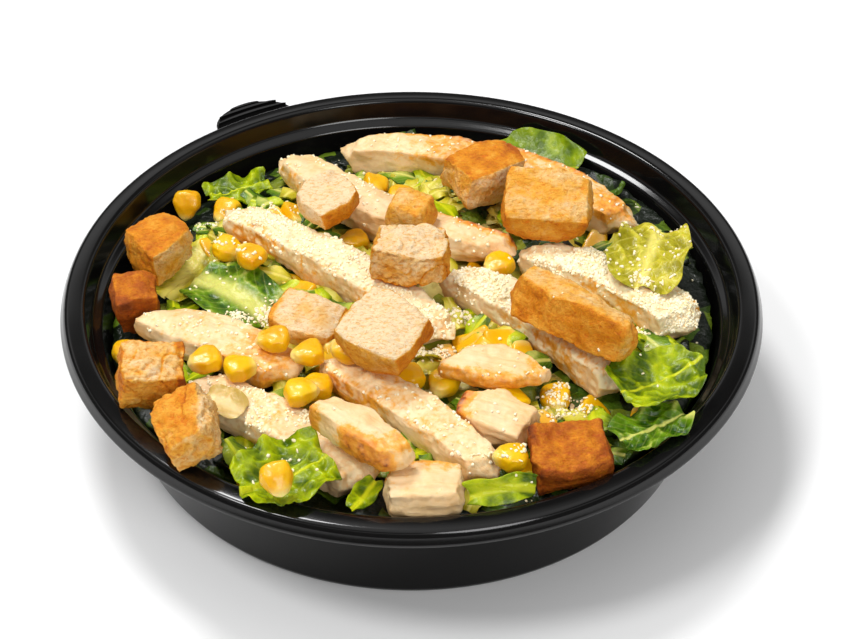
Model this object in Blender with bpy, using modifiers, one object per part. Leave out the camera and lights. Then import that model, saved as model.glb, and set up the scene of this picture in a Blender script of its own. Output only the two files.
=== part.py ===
"""Chicken caesar salad heaped in a round black takeaway bowl.

Lengths are in millimetres while the pieces are shaped, and each finished mesh is
scaled to metres. The origin is the centre of the bowl's foot on the table, +Z is up,
-Y is the front and the bowl's lid tab is at the back left.
"""
import math
import random

import bmesh
import bpy
from mathutils import Euler, Matrix, Vector, noise
from mathutils.bvhtree import BVHTree

# Driving sizes of the bowl
RIM_RADIUS = 92.5
HEIGHT = 38.0
WALL = 0.8
FLOOR_RADIUS = 72.0
LEDGE_RADIUS = 81.6
LEDGE_DEPTH = 6.9
BOWL_SEGMENTS = 64
TAB_ANGLE = 120.0
TAB_HALF_ANGLE = 7.5
TAB_REACH = 8.2
TAB_RIDGES = (2.6, 5.2)

# Levels of the salad, measured down from the rim
BED_DEPTH_AT_WALL = 8.0
BED_DEPTH_IN_MIDDLE = 3.0
BED_GRID = 21
LOWEST_BORDER = 24.0
DIP_ANGLE = 150.0
DIP_DEPTH = 6.0

# Small pieces, the gap between touching pieces, and the seed of the uneven surfaces
KERNEL_SIZE = (9.4, 8.4, 5.4)
LEAF_THICKNESS = 0.9
SHREDS_ON_BED = 14
GAP = 0.35
SHAPE_SEED = 4

METRES = 0.001

COLOURS = {
    "bowl": (0.012, 0.012, 0.013),
    "salad_bed": (0.36, 0.46, 0.10),
    "chicken": (0.80, 0.64, 0.44),
    "crouton": (0.78, 0.42, 0.10),
    "lettuce": (0.25, 0.45, 0.05),
    "corn": (0.90, 0.60, 0.04),
}


def clear_scene():
    """Remove what a new file holds."""
    for item in list(bpy.data.objects):
        bpy.data.objects.remove(item, do_unlink=True)


def make_collection(name):
    """A new collection in the scene."""
    group = bpy.data.collections.new(name)
    bpy.context.scene.collection.children.link(group)
    return group


def food_material(name, kind):
    """A plain material in the colour of its kind of piece."""
    material = bpy.data.materials.new(name)
    material.use_nodes = True
    shader = material.node_tree.nodes["Principled BSDF"]
    shader.inputs["Base Color"].default_value = (*COLOURS[kind], 1.0)
    shader.inputs["Roughness"].default_value = 0.2 if kind == "bowl" else 0.55
    return material


def add_object(name, bm, kind, group):
    """Turn a finished bmesh into an object with its own material."""
    bmesh.ops.recalc_face_normals(bm, faces=bm.faces)
    mesh = bpy.data.meshes.new(name)
    bm.to_mesh(mesh)
    bm.free()
    mesh.materials.append(food_material(name, kind))
    obj = bpy.data.objects.new(name, mesh)
    group.objects.link(obj)
    return obj


def box_grid(across):
    """A closed cube from -1 to 1 whose sides are divided as often as across says."""
    bm = bmesh.new()
    bmesh.ops.create_cube(bm, size=2.0)
    for axis, count in enumerate(across):
        if count < 2:
            continue
        long_edges = [
            edge for edge in bm.edges
            if abs(edge.verts[0].co[axis] - edge.verts[1].co[axis]) > 1.9
        ]
        bmesh.ops.subdivide_edges(bm, edges=long_edges, cuts=count - 1, use_grid_fill=True)
    return bm


def pose(bm, place, turn):
    """Turn by roll, pitch and yaw in degrees, then move to place."""
    angles = Euler([math.radians(angle) for angle in turn], "XYZ")
    matrix = Matrix.Translation(Vector(place)) @ angles.to_matrix().to_4x4()
    bmesh.ops.transform(bm, matrix=matrix, verts=bm.verts)


def applied(obj, modifier_name):
    """Bake the named modifier of an object into its mesh."""
    depsgraph = bpy.context.evaluated_depsgraph_get()
    baked = bpy.data.meshes.new_from_object(obj.evaluated_get(depsgraph))
    baked.name = obj.name
    obj.modifiers.remove(obj.modifiers[modifier_name])
    old = obj.data
    obj.data = baked
    bpy.data.meshes.remove(old)


def join_by_union(obj, extras, group):
    """Fuse the objects of a list into obj, then remove them."""
    helpers = make_collection(obj.name + "_extras")
    helpers.hide_render = True
    for extra in extras:
        group.objects.unlink(extra)
        helpers.objects.link(extra)
        extra.display_type = "WIRE"
    union = obj.modifiers.new("fuse", "BOOLEAN")
    union.operation = "UNION"
    union.operand_type = "COLLECTION"
    union.collection = helpers
    union.solver = "MANIFOLD"
    applied(obj, "fuse")
    for extra in list(helpers.objects):
        bpy.data.objects.remove(extra, do_unlink=True)
    bpy.data.collections.remove(helpers)


def keep_largest_body(obj):
    """Drop loose scraps and sealed hollows, keeping the body with the most faces."""
    bm = bmesh.new()
    bm.from_mesh(obj.data)
    left = set(bm.faces)
    bodies = []
    while left:
        body = set()
        edge_of_body = [left.pop()]
        while edge_of_body:
            face = edge_of_body.pop()
            body.add(face)
            for edge in face.edges:
                for other in edge.link_faces:
                    if other in left:
                        left.remove(other)
                        edge_of_body.append(other)
        bodies.append(body)
    bodies.sort(key=len, reverse=True)
    scraps = [face for body in bodies[1:] for face in body]
    bmesh.ops.delete(bm, geom=scraps, context="FACES")
    bm.to_mesh(obj.data)
    bm.free()


# The bowl

def rim_profile():
    """Half section of the bowl, up its inside, over its rim and down its outside."""
    top = HEIGHT
    inside = [
        (0.0, WALL),
        (FLOOR_RADIUS, WALL),
        (FLOOR_RADIUS + 3.0, WALL + 1.4),
        (LEDGE_RADIUS, top - LEDGE_DEPTH),
        (LEDGE_RADIUS + 2.4, top - 5.6),
        (LEDGE_RADIUS + 4.0, top - 0.9),
        (LEDGE_RADIUS + 4.8, top),
    ]
    rim = [
        (RIM_RADIUS - 2.1, top - 0.8),
        (RIM_RADIUS - 1.2, top - 1.6),
        (RIM_RADIUS - 0.3, top - 3.5),
        (RIM_RADIUS, top - 3.9),
        (RIM_RADIUS - 0.5, top - 4.5),
        (RIM_RADIUS - 1.2, top - 4.0),
        (RIM_RADIUS - 2.1, top - 2.1),
        (RIM_RADIUS - 2.7, top - 1.7),
    ]
    outside = [
        (LEDGE_RADIUS + 5.3, top - 1.0),
        (LEDGE_RADIUS + 4.7, top - 1.6),
        (LEDGE_RADIUS + 3.2, top - 6.2),
        (LEDGE_RADIUS + 0.8, top - LEDGE_DEPTH - 0.6),
        (FLOOR_RADIUS + 3.8, WALL + 1.2),
        (FLOOR_RADIUS + 3.2, 0.5),
        (FLOOR_RADIUS + 2.3, 0.0),
        (0.0, 0.0),
    ]
    return inside + rim + outside


def tab_piece(name, inner, outer, low, high, half_angle, group):
    """A rounded lobe on the rim, narrowing to nothing at both of its ends."""
    bm = box_grid((10, 1, 1))
    for vert in bm.verts:
        along, across, up = vert.co
        bulge = max(0.12, math.cos(along * math.pi / 2))
        radius = inner if across < 0 else inner + (outer - inner) * bulge
        angle = math.radians(TAB_ANGLE - math.sin(along * math.pi / 2) * half_angle)
        height = HEIGHT + (low if up < 0 else high)
        vert.co = (radius * math.cos(angle), radius * math.sin(angle), height)
    return add_object(name, bm, "bowl", group)


def make_bowl(group):
    """The bowl, turned from its half section, with the lid tab and its grip ridges."""
    bm = bmesh.new()
    verts = [bm.verts.new((radius, 0.0, height)) for radius, height in rim_profile()]
    for first, second in zip(verts, verts[1:]):
        bm.edges.new((first, second))
    bowl = add_object("bowl", bm, "bowl", group)
    turning = bowl.modifiers.new("turn", "SCREW")
    turning.axis = "Z"
    turning.angle = math.radians(360)
    turning.steps = BOWL_SEGMENTS
    turning.render_steps = BOWL_SEGMENTS
    turning.use_merge_vertices = True
    turning.merge_threshold = 0.0001
    applied(bowl, "turn")
    root = RIM_RADIUS - 0.9
    edge = RIM_RADIUS + TAB_REACH
    pieces = [tab_piece("tab_plate", root, edge, -4.2, -2.9, TAB_HALF_ANGLE, group)]
    for step in TAB_RIDGES:
        ridge = RIM_RADIUS + step
        half_angle = 0.95 * TAB_HALF_ANGLE * math.sqrt(1 - (step / TAB_REACH) ** 2)
        pieces.append(tab_piece("tab_ridge", ridge - 0.5, ridge + 0.6, -3.4, -1.9, half_angle, group))
    join_by_union(bowl, pieces, group)
    keep_largest_body(bowl)
    return bowl


# The kinds of food pieces

def chunk(kind, name, size, place, turn, divisions, soft, ends, bow, skew, rough, seed, group):
    """A rounded bar: bowed in plan, narrower or wider at its ends, with uneven sides."""
    bm = box_grid(divisions)
    shift = Vector((seed * 3.1, seed * 7.7, seed * 1.3))
    for vert in bm.verts:
        a, b, c = vert.co
        fall = [soft * value ** 4 for value in (a, b, c)]
        along = a * math.sqrt(1 - fall[1] / 2 - fall[2] / 2 + fall[1] * c ** 4 / 3)
        across = b * math.sqrt(1 - fall[0] / 2 - fall[2] / 2 + fall[0] * c ** 4 / 3)
        up = c * math.sqrt(1 - fall[0] / 2 - fall[1] / 2 + fall[0] * b ** 4 / 3)
        end = ends[0] if a < 0 else ends[1]
        narrowing = 1 - (1 - end) * abs(a) ** 3
        spot = Vector((
            along * size[0] / 2 + skew * across * abs(a),
            across * narrowing * size[1] / 2 + bow * (1 - a * a),
            up * (narrowing + 1) / 2 * size[2] / 2,
        ))
        vert.co = spot + rough * noise.noise_vector(spot * 0.12 + shift)
    pose(bm, place, turn)
    bmesh.ops.triangulate(bm, faces=bm.faces)
    return add_object(name, bm, kind, group)


def chicken(number, size, at, turn, bow, ends, skew, group):
    """A strip or chunk of sliced chicken breast."""
    along = max(2, round(size[0] / 12))
    return chunk("chicken", f"chicken_{number:02d}", size, (*at, 0), turn, (along, 2, 2),
                 0.5, ends, bow, skew, 1.2, number, group)


def crouton(number, size, at, turn, ends, group):
    """A toasted cube or slice of bread."""
    return chunk("crouton", f"crouton_{number:02d}", size, (*at, 0), turn, (3, 3, 3),
                 0.3, ends, 0.0, 0.0, 2.0, number + 20, group)


def kernel(name, seed, at, turn, group):
    """A corn kernel: a broad crown and a narrower tip."""
    return chunk("corn", name, KERNEL_SIZE, at, turn, (2, 2, 2), 0.7, (0.55, 1.0), 0.0, 0.0, 0.4,
                 seed, group)


def leaf(name, size, place, turn, curl, bend, ruffle, seed, group, divisions=(6, 6),
         thick=LEAF_THICKNESS):
    """A torn lettuce leaf: a thin sheet curled across, bent along and ruffled at its edges."""
    bm = bmesh.new()
    bmesh.ops.create_grid(bm, x_segments=divisions[0], y_segments=divisions[1], size=1.0)
    bmesh.ops.triangulate(bm, faces=bm.faces)
    shift = Vector((seed * 5.3, seed * 2.9, seed * 1.7))
    half_length = size[0] / 2
    half_width = size[1] / 2
    curl_radius = half_width / math.radians(curl / 2)
    bend_radius = half_length / math.radians(bend / 2)
    for vert in bm.verts:
        a, b, _ = vert.co
        torn = 1 + 0.22 * noise.noise(Vector((a * 1.7, b * 1.7, 0)) + shift)
        outline = (1 - 0.35 * abs(a) ** 3) * torn
        width = b * outline
        edge = abs(b) ** 1.5
        wave = ruffle * edge * math.sin(a * 5.5 + seed + (1.9 if b < 0 else 0.0))
        height = wave + 0.8 * noise.noise(Vector((a * 2.1, b * 2.1, 7.0)) + shift)
        curl_angle = width * math.radians(curl / 2)
        across = (curl_radius - height) * math.sin(curl_angle)
        raised = curl_radius - (curl_radius - height) * math.cos(curl_angle)
        bend_angle = a * torn * math.radians(bend / 2)
        along = (bend_radius - raised) * math.sin(bend_angle)
        up = bend_radius - (bend_radius - raised) * math.cos(bend_angle)
        vert.co = (along, across, up)
    pose(bm, place, turn)
    obj = add_object(name, bm, "lettuce", group)
    sheet = obj.modifiers.new("sheet", "SOLIDIFY")
    sheet.thickness = thick
    sheet.offset = 0.0
    applied(obj, "sheet")
    bm = bmesh.new()
    bm.from_mesh(obj.data)
    bmesh.ops.triangulate(bm, faces=bm.faces)
    bmesh.ops.recalc_face_normals(bm, faces=bm.faces)
    bm.to_mesh(obj.data)
    bm.free()
    return obj


# Resting pieces on the heap

def bed_level(x, y):
    """Height of the salad between the larger pieces."""
    share = min(1.0, math.hypot(x, y) / (LEDGE_RADIUS - 1.0))
    depth = BED_DEPTH_IN_MIDDLE + (BED_DEPTH_AT_WALL - BED_DEPTH_IN_MIDDLE) * share ** 2
    return HEIGHT - depth


def corner_points(obj):
    """The corners of a piece."""
    return [vert.co.copy() for vert in obj.data.vertices]


def surface_points(obj):
    """Points spread over the faces of a piece."""
    bm = bmesh.new()
    bm.from_mesh(obj.data)
    bmesh.ops.subdivide_edges(bm, edges=bm.edges, cuts=2, use_grid_fill=True)
    points = [vert.co.copy() for vert in bm.verts]
    bm.free()
    return points


def tree_of(obj):
    """Search tree of a piece's faces."""
    faces = [tuple(face.vertices) for face in obj.data.polygons]
    return BVHTree.FromPolygons([vert.co for vert in obj.data.vertices], faces)


class Laid:
    """A piece at rest: its faces, its points and the plan rectangle that it covers."""

    def __init__(self, obj):
        self.tree = tree_of(obj)
        self.corners = corner_points(obj)
        self.points = surface_points(obj)
        self.low = [min(point[axis] for point in self.corners) for axis in (0, 1)]
        self.high = [max(point[axis] for point in self.corners) for axis in (0, 1)]

    def near(self, low, high):
        """Whether a plan rectangle comes over this piece."""
        return all(low[i] <= self.high[i] and high[i] >= self.low[i] for i in (0, 1))


class Heap:
    """The bowl and the pieces laid so far, on which the next piece comes to rest."""

    def __init__(self, bowl):
        self.laid = [Laid(bowl)]

    def fall(self, points, tree, shift, press, fine):
        """How far a piece above the heap, moved by shift, can fall before it touches."""
        down = Vector((0, 0, -1))
        moved = [point + shift for point in points]
        low = [min(point[axis] for point in moved) for axis in (0, 1)]
        high = [max(point[axis] for point in moved) for axis in (0, 1)]
        fall = min(point.z - bed_level(point.x, point.y) for point in moved) + press
        for other in self.laid:
            if not other.near(low, high):
                continue
            for point in moved:
                hit = other.tree.ray_cast(point, down)
                if hit[0] is not None:
                    fall = min(fall, hit[3] - GAP)
            for point in other.points if fine else other.corners:
                if not (low[0] <= point.x <= high[0] and low[1] <= point.y <= high[1]):
                    continue
                hit = tree.ray_cast(point - shift, -down)
                if hit[0] is not None:
                    fall = min(fall, hit[3] - GAP)
        return fall

    def best_shift(self, obj, tree, press, slide):
        """The short way sideways that lets a piece come to rest much lower."""
        points = corner_points(obj)
        best = Vector((0, 0, 0))
        best_gain = self.fall(points, tree, best, press, False)
        for distance in range(1, slide + 1):
            for step in range(12):
                angle = math.radians(30 * step)
                shift = Vector((distance * math.cos(angle), distance * math.sin(angle), 0))
                gain = self.fall(points, tree, shift, press, False) - 1.2 * distance
                if gain > best_gain + 0.01:
                    best, best_gain = shift, gain
        return best

    def lay(self, obj, press=1.5, slide=4):
        """Let a piece come to rest on the heap, pressed a little into the salad."""
        obj.data.transform(Matrix.Translation((0, 0, 120.0)))
        tree = tree_of(obj)
        shift = self.best_shift(obj, tree, press, slide)
        fall = self.fall(surface_points(obj), tree, shift, press, True)
        obj.data.transform(Matrix.Translation(shift - Vector((0, 0, fall))))
        while any(tree_of(obj).overlap(other.tree) for other in self.laid):
            obj.data.transform(Matrix.Translation((0, 0, 0.2)))
        self.laid.append(Laid(obj))
        return obj


def lay_chicken(heap, group, pieces, first, press):
    """Strips and chunks of chicken, numbered on from first."""
    for number, (size, at, turn, bow, ends, skew) in enumerate(pieces, start=first):
        heap.lay(chicken(number, size, at, turn, bow, ends, skew, group), press)


def lay_croutons(heap, group, pieces, first, slide):
    """Croutons, numbered on from first."""
    for number, (size, at, turn, ends) in enumerate(pieces, start=first):
        heap.lay(crouton(number, size, at, turn, ends, group), slide=slide)


def lay_lettuce(heap, group, pieces, first):
    """Torn romaine leaves, numbered on from first."""
    for number, (size, at, turn, curl, bend, ruffle) in enumerate(pieces, start=first):
        name = f"lettuce_{number:02d}"
        heap.lay(leaf(name, size, (*at, 0), turn, curl, bend, ruffle, number, group), press=2.5)


def lay_corn(heap, group, pieces, first):
    """Corn kernels, numbered on from first."""
    for number, (at, turn) in enumerate(pieces, start=first):
        heap.lay(kernel(f"corn_{number:02d}", number, (*at, 0), turn, group))


# Chicken: length, width and depth; place; roll, pitch and yaw; bow; sizes of ends; skew
BED_CHICKEN = [
    ((60, 12, 9), (-1, -51), (0, 0, -44), 2, (0.8, 0.9), 2),
    ((60, 14, 9), (-33, -55), (0, 0, -38), 2, (0.9, 1.0), 2),
    ((48, 15, 9), (-50, -24), (0, 0, -29), 2, (0.6, 0.9), 3),
    ((66, 14, 10), (32, -19), (0, 0, -45), 3, (0.8, 0.9), 2),
    ((84, 13, 10), (-20, 3), (0, 0, -41), 2, (0.8, 0.8), 2),
    ((80, 13, 10), (-5, 33), (0, 0, -34), -5, (0.8, 0.8), 2),
    ((54, 14, 10), (49, -2), (0, 0, -36), 3, (0.8, 1.1), 2),
    ((92, 13, 11), (21, 45), (0, 0, -24), 9, (0.9, 0.9), 2),
    ((19, 13, 12), (3, -80), (0, 0, 0), 0, (0.9, 0.9), 0),
]
TOP_CHICKEN = [
    ((22, 14, 11), (22, -55.5), (12, 0, -28), 0, (0.6, 0.85), 0),
    ((24, 14, 6), (21, -38), (0, 0, -24), 0, (1.0, 0.7), 4),
    ((28, 12, 9), (-12, -69), (0, 0, -42), 1, (0.7, 0.7), 2),
]

# Croutons: length, width and depth; place; roll, pitch and yaw; sizes of ends
BED_CROUTONS = [
    ((12, 12, 13), (-72, -7), (8, 0, 10), (1.0, 0.9)),
    ((15, 14, 13), (-67, 12.5), (6, -6, 42), (1.0, 0.9)),
    ((16, 13, 15), (-64, -45), (18, 8, 12), (0.9, 1.0)),
    ((17, 13, 12), (-53, -64.5), (26, 10, -78), (1.0, 0.9)),
    ((20, 15, 11), (39, -68), (16, 0, 12), (1.0, 0.9)),
    ((19, 14, 7), (-27, -15), (5, 3, -24), (1.0, 0.9)),
]
TOP_CROUTONS = [
    ((15, 14, 7), (-23, 24), (8, -8, 42), (1.0, 0.95)),
    ((12, 10, 8), (0, 20), (0, 0, -20), (1.0, 0.9)),
    ((20, 14, 11), (0, -2), (0, 0, -10), (1.0, 0.9)),
    ((20, 19, 9), (-7, -35), (14, 9, -32), (1.0, 0.95)),
    ((20, 15, 12), (20, 38), (0, 0, 30), (1.0, 0.8)),
    ((23, 18, 10), (36, 19), (24, 0, -7), (1.0, 0.9)),
    ((35, 9, 13), (40, -30), (-14, 0, -38), (0.8, 0.8)),
]

# Lettuce: length and width; place; roll, pitch and yaw; curl; bend; ruffle
LOW_LEAVES = [
    ((26, 15), (-61, 12), (0, 0, 70), 40, 30, 1.0),
    ((28, 22), (-49, -4), (0, 0, -40), 30, -30, 1.2),
    ((20, 14), (-46, 50), (0, 0, 20), 50, 30, 2.2),
    ((15, 8), (-20, 58), (0, 0, -35), 50, 40, 1.2),
    ((26, 17), (39, 68), (20, 0, -30), 60, 30, 1.0),
    ((20, 14), (58, -57), (0, 0, 30), 50, 30, 1.2),
]
TOP_LEAVES = [
    ((26, 22), (63, 4), (0, 0, 70), 60, -40, 2.2),
    ((26, 22), (61, -44), (0, 0, 30), 70, 50, 1.6),
    ((17, 8), (20, -80.5), (55, 0, 10), 80, -30, 0.4),
    ((25, 22), (-30, -74), (8, 0, 30), 70, 40, 2.0),
    ((12, 7), (-10, -78), (0, 0, 60), 60, 40, 0.8),
    ((12, 10), (-46, -52), (0, 0, -30), 60, -30, 0.5),
]

# Corn: place; roll, pitch and yaw
LOW_KERNELS = [
    ((-63, 40), (0, -60, 80)),
    ((-52, 37), (0, -20, 60)),
    ((-46, 18), (0, -10, 150)),
    ((-43, 8), (0, 0, -40)),
    ((-10, 46), (20, 0, 90)),
    ((-5, 42), (0, 10, 70)),
    ((-15, 22), (0, 0, 20)),
    ((23, 10), (0, 0, 40)),
    ((-35, -29), (0, 0, 0)),
    ((-26, -33), (0, 0, 20)),
    ((-16, -33.5), (0, 0, -10)),
    ((-71, -20), (0, 0, 90)),
    ((-22, -38), (0, 0, 10)),
    ((8, -37), (0, 0, 60)),
    ((-1, -38), (0, 0, 20)),
    ((36, -41), (0, 0, 100)),
    ((25, -69), (0, 0, 0)),
]
TOP_KERNELS = [
    ((-31, -82), (0, -30, 110)),
    ((-51, -34), (0, 0, 20)),
    ((-43, -37), (0, 0, 200)),
    ((-27, -47), (0, 0, 190)),
]

# Kernels fused to the bed, between the larger pieces: place
BED_KERNELS = [
    (-32, 6),
    (-73, -29),
    (44, -45),
    (33, -49),
    (24, -44),
    (28, -29),
    (23, -24),
    (9, -27),
    (2, -45),
    (16, 55),
    (51, 25),
    (19, 9),
    (57, -50),
    (-19, -25),
    (-54, 22),
]

# Grated cheese: the strip that it lies on, and how many of its larger crumbs
CHEESE = [
    ("chicken_04", 11),
    ("chicken_07", 9),
    ("chicken_05", 7),
    ("chicken_01", 4),
]


# The salad under and between the pieces

def undersides(heap):
    """Plan points under the laid pieces, each with the height of the lowest surface there."""
    low = []
    up = Vector((0, 0, 1))
    reach = int(LEDGE_RADIUS)
    for x in range(-reach, reach + 1):
        for y in range(-reach, reach + 1):
            over = [other.tree for other in heap.laid[1:] if other.near((x, y), (x, y))]
            hits = [tree.ray_cast((x, y, 0.0), up) for tree in over]
            heights = [hit[0].z for hit in hits if hit[0] is not None]
            if heights:
                low.append((x, y, min(heights)))
    return low


def wall_radius(height):
    """Inner radius of the bowl's wall below its ledge."""
    low = WALL + 1.4
    share = (height - low) / (HEIGHT - LEDGE_DEPTH - low)
    return FLOOR_RADIUS + 3.0 + (LEDGE_RADIUS - FLOOR_RADIUS - 3.0) * share


def barycentric(corners, x, y):
    """Shares of a triangle's corners at a plan point inside it."""
    (ax, ay, _), (bx, by, _), (cx, cy, _) = (vert.co for vert in corners)
    whole = (by - cy) * (ax - cx) + (cx - bx) * (ay - cy)
    first = ((by - cy) * (x - cx) + (cx - bx) * (y - cy)) / whole
    second = ((cy - ay) * (x - cx) + (ax - cx) * (y - cy)) / whole
    return (first, second, 1 - first - second)


def round_grid_point(a, b, radius):
    """Spread a point of a square from -1 to 1 over a round disc."""
    return (a * math.sqrt(1 - b * b / 2) * radius, b * math.sqrt(1 - a * a / 2) * radius)


def press_down(bm, low):
    """Lower the top of the bed by as little as lets it clear every underside above it."""
    surface = BVHTree.FromBMesh(bm)
    rests = []
    for x, y, under in low:
        hit = surface.ray_cast(Vector((x, y, 100.0)), Vector((0, 0, -1)))
        if hit[0] is None:
            continue
        corners = bm.faces[hit[2]].verts
        shares = barycentric(corners, x, y)
        rests.append((corners, shares, under - GAP - 0.1))
    for _ in range(200):
        worst = 0.0
        for corners, shares, limit in rests:
            excess = sum(share * vert.co.z for share, vert in zip(shares, corners)) - limit
            if excess <= 0:
                continue
            worst = max(worst, excess)
            weight = sum(share * share for share in shares)
            for share, vert in zip(shares, corners):
                vert.co.z -= excess * share / weight
        if worst < 0.01:
            break


def clear_of_pieces(bm, heap):
    """Lower the few corners of the bed that still cut the thin edge of a leaf."""
    crossing = True
    while crossing:
        surface = BVHTree.FromBMesh(bm)
        crossing = {pair[0] for other in heap.laid[1:] for pair in surface.overlap(other.tree)}
        for vert in {vert for index in crossing for vert in bm.faces[index].verts}:
            vert.co.z -= 0.5


def make_bed(heap, group):
    """The heap of salad that fills the bowl up to the pieces that lie on it."""
    top_radius = wall_radius(LOWEST_BORDER) - GAP - 0.1
    bm = bmesh.new()
    bmesh.ops.create_grid(bm, x_segments=BED_GRID, y_segments=BED_GRID, size=1.0)
    for vert in bm.verts:
        x, y = round_grid_point(vert.co.x, vert.co.y, top_radius)
        lumps = 1.6 * noise.noise(Vector((x, y, 0)) * 0.11)
        share = math.hypot(x, y) / top_radius
        turned = math.atan2(y, x) - math.radians(DIP_ANGLE)
        dip = DIP_DEPTH * min(1.0, share) ** 6 * max(0.0, math.cos(turned))
        vert.co = (x, y, bed_level(x, y) - dip + lumps * (1 - min(1.0, share ** 8)))
    bmesh.ops.triangulate(bm, faces=bm.faces)
    bm.faces.ensure_lookup_table()
    press_down(bm, undersides(heap))
    clear_of_pieces(bm, heap)
    border = [edge for edge in bm.edges if edge.is_boundary]
    for vert in {vert for edge in border for vert in edge.verts}:
        vert.co.z = max(vert.co.z, LOWEST_BORDER)
    skirt_sizes = [
        (FLOOR_RADIUS + 3.0 - GAP - 0.2, WALL + 1.9),
        (FLOOR_RADIUS - GAP, WALL + GAP),
    ]
    for radius, height in skirt_sizes:
        grown = bmesh.ops.extrude_edge_only(bm, edges=border)["geom"]
        ring = [item for item in grown if isinstance(item, bmesh.types.BMVert)]
        for vert in ring:
            angle = math.atan2(vert.co.y, vert.co.x)
            vert.co = (radius * math.cos(angle), radius * math.sin(angle), height)
        edges = [item for item in grown if isinstance(item, bmesh.types.BMEdge)]
        border = [edge for edge in edges if edge.is_boundary]
    bmesh.ops.contextual_create(bm, geom=border)
    bmesh.ops.triangulate(bm, faces=bm.faces)
    return add_object("salad_bed", bm, "salad_bed", group)


def clear_on_bed(extra, bed_tree, heap):
    """Whether a small piece reaches into the bed and keeps its distance to the others."""
    tree = tree_of(extra)
    piece = Laid(extra)
    near = [other for other in heap.laid if other.near(piece.low, piece.high)]
    if any(tree.overlap(other.tree) for other in near):
        return False
    if any(tree.find_nearest(point, 0.5)[0] for other in near for point in other.points):
        return False
    return bool(tree.overlap(bed_tree))


def fuse_small_pieces(bed, heap, group):
    """Corn kernels and shreds of lettuce that show in the gaps, fused to the bed."""
    draw = random.Random(7)
    bed_tree = tree_of(bed)
    extras = []
    wanted = [("kernel", place) for place in BED_KERNELS]
    for _ in range(400):
        radius = (LEDGE_RADIUS - 6.0) * math.sqrt(draw.random())
        angle = draw.uniform(0, 2 * math.pi)
        wanted.append(("shred", (radius * math.cos(angle), radius * math.sin(angle))))
    for seed, (what, (x, y)) in enumerate(wanted):
        if len(extras) == len(BED_KERNELS) + SHREDS_ON_BED:
            break
        turn = (draw.uniform(-20, 20), draw.uniform(-20, 20), draw.uniform(0, 360))
        size = (draw.uniform(9, 15), draw.uniform(5, 8))
        level = bed_tree.ray_cast(Vector((x, y, 100)), Vector((0, 0, -1)))[0].z
        if what == "shred":
            extra = leaf("shred", size, (x, y, level + 0.6), turn, 60, 50, 0.8, seed, group,
                         divisions=(3, 2), thick=1.2)
        else:
            extra = kernel("kernel", seed, (x, y, level + 1.5), turn, group)
        if clear_on_bed(extra, bed_tree, heap):
            extras.append(extra)
        else:
            bpy.data.objects.remove(extra, do_unlink=True)
    join_by_union(bed, extras, group)
    keep_largest_body(bed)


def cheese_crumb(at, size, group):
    """A crumb of grated cheese."""
    bm = bmesh.new()
    bmesh.ops.create_icosphere(bm, subdivisions=1, radius=1.0)
    bmesh.ops.transform(bm, matrix=Matrix.Diagonal((*size, 1.0)), verts=bm.verts)
    bmesh.ops.translate(bm, vec=at, verts=bm.verts)
    return add_object("crumb", bm, "chicken", group)


def grate_cheese(heap, host, count, draw, group):
    """Crumbs of cheese over the top of a strip, fused to it and clear of its neighbours."""
    tree = tree_of(host)
    laid = min(heap.laid, key=lambda other: (other.corners[0] - host.data.vertices[0].co).length)
    extras = []
    taken = []
    while len(extras) < count:
        x = draw.uniform(laid.low[0], laid.high[0])
        y = draw.uniform(laid.low[1], laid.high[1])
        spot, normal, _, _ = tree.ray_cast(Vector((x, y, 100.0)), Vector((0, 0, -1)))
        if spot is None or normal.z < 0.75 or any((spot - other).length < 4.5 for other in taken):
            continue
        taken.append(spot)
        size = (draw.uniform(1.1, 1.7), draw.uniform(0.9, 1.3), draw.uniform(0.9, 1.2))
        others = [other for other in heap.laid if other is not laid]
        if any(other.tree.find_nearest(spot, 2.6)[0] for other in others):
            count -= 1
            continue
        extras.append(cheese_crumb(spot + Vector((0, 0, 0.3)), size, group))
    join_by_union(host, extras, group)


def finish(obj):
    """Scale to metres, put the origin in the middle and shade the round faces smooth."""
    obj.data.transform(Matrix.Scale(METRES, 4))
    corners = corner_points(obj)
    middle = sum(corners, Vector()) / len(corners) if obj.name != "bowl" else Vector()
    obj.data.transform(Matrix.Translation(-middle))
    obj.location = middle
    obj.data.shade_smooth()
    obj.data.set_sharp_from_angle(angle=math.radians(40))


def main():
    """Make the bowl, lay the pieces and fill in the salad under them."""
    clear_scene()
    noise.seed_set(SHAPE_SEED)
    group = make_collection("chicken_caesar_salad")
    bowl = make_bowl(group)
    heap = Heap(bowl)
    lay_chicken(heap, group, BED_CHICKEN, 1, press=2.0)
    lay_lettuce(heap, group, LOW_LEAVES, 1)
    lay_croutons(heap, group, BED_CROUTONS, 1, slide=3)
    lay_corn(heap, group, LOW_KERNELS, 1)
    lay_lettuce(heap, group, TOP_LEAVES, len(LOW_LEAVES) + 1)
    lay_chicken(heap, group, TOP_CHICKEN, len(BED_CHICKEN) + 1, press=1.5)
    lay_croutons(heap, group, TOP_CROUTONS, len(BED_CROUTONS) + 1, slide=0)
    lay_corn(heap, group, TOP_KERNELS, len(LOW_KERNELS) + 1)
    bed = make_bed(heap, group)
    fuse_small_pieces(bed, heap, group)
    draw = random.Random(SHAPE_SEED)
    for name, count in CHEESE:
        grate_cheese(heap, bpy.data.objects[name], count, draw, group)
    for obj in group.objects:
        finish(obj)


main()
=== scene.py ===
import math
import random

import bpy
import numpy as np
from mathutils import Euler, Matrix, Vector, noise
from mathutils.bvhtree import BVHTree


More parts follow.
